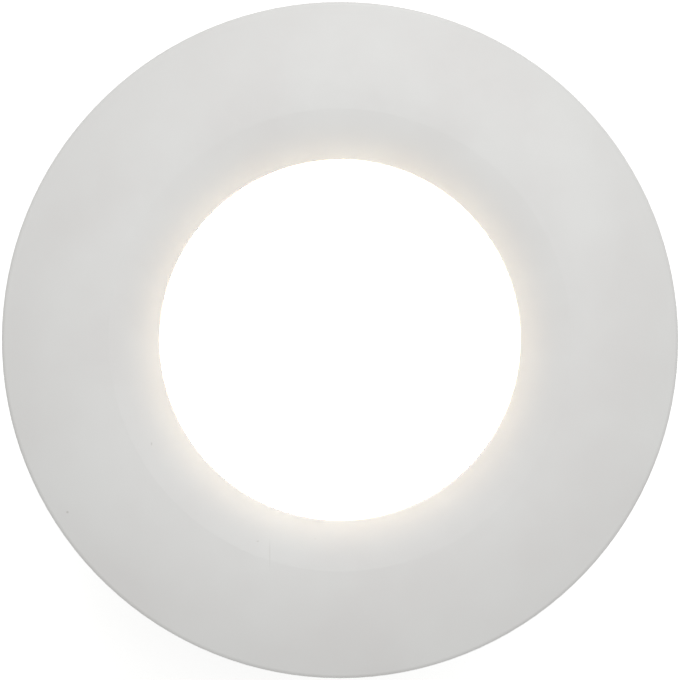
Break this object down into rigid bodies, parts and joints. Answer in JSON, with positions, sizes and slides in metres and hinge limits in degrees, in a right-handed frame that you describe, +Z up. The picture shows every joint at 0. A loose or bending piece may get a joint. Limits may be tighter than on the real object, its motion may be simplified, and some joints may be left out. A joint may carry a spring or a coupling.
{
  "type": "in-ground light",
  "caption": "Round in-ground light with a white domed trim ring round a lit opal lens, a finned cast housing with spring clips, and a black sleeve set in the paving.",
  "frame": {"origin": "on the light's axis at ground level, in the plane of the trim ring's underside", "axes": "+Z up out of the ground along the axis, +X to the right of the face seen from above with +Y at the top; the spring clips are on +X and -X, the cable arches on +Y and -Y"},
  "size_m": [0.085, 0.085, 0.115],
  "materials": {
    "white_powder_coat": "satin fine-texture powder coat",
    "opal_acrylic": "polished opal acrylic, lit from behind",
    "cast_aluminium": "shot-blasted die casting",
    "black_abs": "moulded, matt",
    "black_nylon": "moulded glass-filled nylon",
    "black_rubber": "moulded nitrile rubber",
    "grey_silicone": "die-cut silicone sheet",
    "white_ptfe": "skived sheet",
    "white_reflector": "moulded reflective white",
    "white_board": "white solder mask on aluminium",
    "led_phosphor": "silicone over phosphor",
    "stainless_steel": "rolled stainless steel",
    "thermal_pad_grey": "filled silicone",
    "lead_jacket": "extruded silicone jacket",
    "green_board": "solder mask on glass-epoxy",
    "ferrite_and_tape": "polyester tape on ferrite",
    "capacitor_sleeve": "shrunk sleeve on aluminium",
    "copper_winding": "enamelled copper",
    "black_epoxy": "moulded epoxy",
    "terminal_plastic": "moulded polyamide",
    "liner_film": "polycarbonate",
    "plated_brass": "nickel-plated brass"
  },
  "bodies": {
    "sleeve": {"sleeve": "black_abs", "seat_gasket": "grey_silicone"},
    "luminaire": {"mounting_frame": "cast_aluminium", "frame_screws": "stainless_steel", "frame_seal": "grey_silicone", "housing": "cast_aluminium", "rear_cap": "cast_aluminium", "ring_seal": "black_rubber", "lens_gasket": "grey_silicone", "lens": "opal_acrylic", "reflector": "white_reflector", "led_board": "white_board", "led_chips": "led_phosphor", "board_screws": "stainless_steel", "thermal_pad": "thermal_pad_grey", "lead_grommet": "black_rubber", "led_leads": "lead_jacket", "driver_board": "green_board", "driver_screws": "stainless_steel", "driver_liner": "liner_film", "transformer": "ferrite_and_tape", "input_capacitor": "capacitor_sleeve", "output_capacitor": "capacitor_sleeve", "driver_choke": "copper_winding", "driver_chips": "black_epoxy", "input_terminal": "terminal_plastic", "cap_seal": "black_rubber", "cap_screws": "stainless_steel", "earth_terminal": "plated_brass", "gland_body": "black_nylon", "gland_washer": "black_rubber", "gland_seal": "black_rubber", "gland_nut": "black_nylon", "clip_bracket_right": "stainless_steel", "clip_bracket_left": "stainless_steel", "bracket_screws": "stainless_steel", "clip_pin_right": "stainless_steel", "clip_pin_left": "stainless_steel", "clip_spring_right": "stainless_steel", "clip_spring_left": "stainless_steel"},
    "clip_right": {"clip_arm_right": "stainless_steel", "clip_grip_right": "black_rubber"},
    "clip_left": {"clip_arm_left": "stainless_steel", "clip_grip_left": "black_rubber"},
    "slip_ring": {"slip_washer": "white_ptfe"},
    "trim": {"trim_ring": "white_powder_coat"}
  },
  "joints": [
    {"name": "luminaire_lift", "type": "slide", "parent": "sleeve", "child": "luminaire", "axis": [0, 0, 1], "range_m": [0, 0.095]},
    {"name": "trim_rise", "type": "slide", "parent": "luminaire", "child": "slip_ring", "axis": [0, 0, 1], "range_m": [0, 0.006]},
    {"name": "trim_turn", "type": "hinge", "parent": "slip_ring", "child": "trim", "pos_m": [0, 0, 0], "axis": [0, 0, 1], "range_deg": [0, 1080]},
    {"name": "clip_right_fold", "type": "hinge", "parent": "luminaire", "child": "clip_right", "pos_m": [0.0312, 0, -0.0219], "axis": [0, 1, 0], "range_deg": [0, 12], "stiffness_Nm_per_rad": 0.15, "springref_deg": -20.05, "deforming": ["clip_spring_right"]},
    {"name": "clip_left_fold", "type": "hinge", "parent": "luminaire", "child": "clip_left", "pos_m": [-0.0312, 0, -0.0219], "axis": [0, -1, 0], "range_deg": [0, 12], "stiffness_Nm_per_rad": 0.15, "springref_deg": -20.05, "deforming": ["clip_spring_left"]}
  ],
  "couplings": [
    {"joint": "trim_rise", "follows": "trim_turn", "m_per_rad": 0.00031831}
  ]
}
